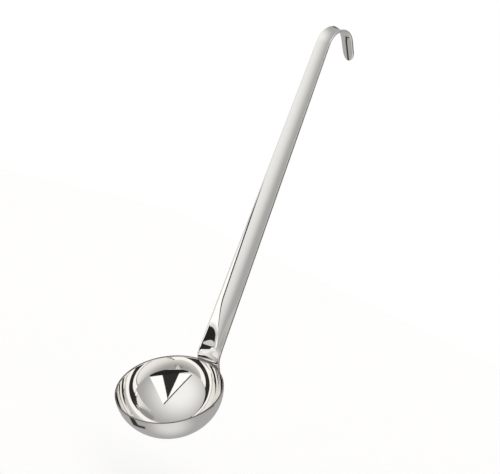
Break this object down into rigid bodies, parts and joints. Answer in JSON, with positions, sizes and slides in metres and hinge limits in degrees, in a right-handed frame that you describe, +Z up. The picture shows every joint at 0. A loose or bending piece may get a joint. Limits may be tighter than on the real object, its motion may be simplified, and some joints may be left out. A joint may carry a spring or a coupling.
{
  "type": "soup ladle",
  "caption": "Polished metal soup ladle with a round pressed bowl and a long hollow-fronted handle that curls back into a hanging hook.",
  "frame": {"origin": "seat of the hook: the top of the inside of its bend, where a rail touches it", "axes": "+Z up along the straight handle as the ladle hangs, +X away from the bowl towards the tip of the hook, +Y across, with XZ the plane of symmetry"},
  "size_m": [0.1106, 0.092, 0.3728],
  "materials": {
    "polished_steel": "mirror-polished stainless steel",
    "weld_metal": "fused stainless steel"
  },
  "bodies": {
    "root": {"bowl": "polished_steel", "handle": "polished_steel", "spot_welds": "weld_metal"}
  },
  "joints": []
}
